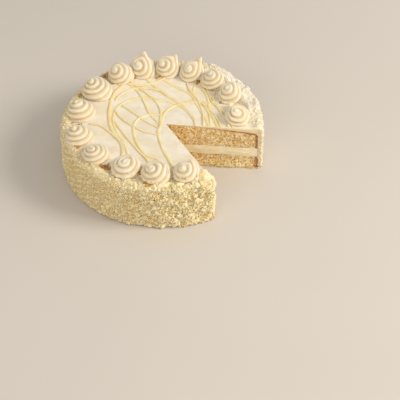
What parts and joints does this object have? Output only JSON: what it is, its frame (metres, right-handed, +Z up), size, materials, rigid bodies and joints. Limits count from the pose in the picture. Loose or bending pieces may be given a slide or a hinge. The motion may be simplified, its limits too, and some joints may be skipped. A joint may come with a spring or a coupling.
{
  "type": "vanilla layer cake",
  "caption": "Round vanilla layer cake with a wedge cut out, cream filling, icing, a ring of piped rosettes and a crumb-coated side.",
  "frame": {"origin": "on the table, under the middle of the full round cake", "axes": "+Z up; the missing wedge opens between +X (its cut seen from the front) and -Y"},
  "size_m": [0.24, 0.24, 0.0833],
  "materials": {
    "sponge": "open baked crumb, golden",
    "cream filling": "smooth pale cream, soft sheen",
    "icing and crumbs": "ivory icing with pale yellow cake crumbs",
    "piped cream": "ridged piped cream, soft sheen"
  },
  "bodies": {
    "root": {"sponge_bottom": "sponge", "cream_filling": "cream filling", "sponge_top": "sponge", "icing_coat": "icing and crumbs", "rosette_01": "piped cream", "rosette_02": "piped cream", "rosette_03": "piped cream", "rosette_04": "piped cream", "rosette_05": "piped cream", "rosette_06": "piped cream", "rosette_07": "piped cream", "rosette_08": "piped cream", "rosette_09": "piped cream", "rosette_10": "piped cream", "rosette_11": "piped cream", "rosette_12": "piped cream", "rosette_13": "piped cream", "rosette_14": "piped cream"}
  },
  "joints": []
}
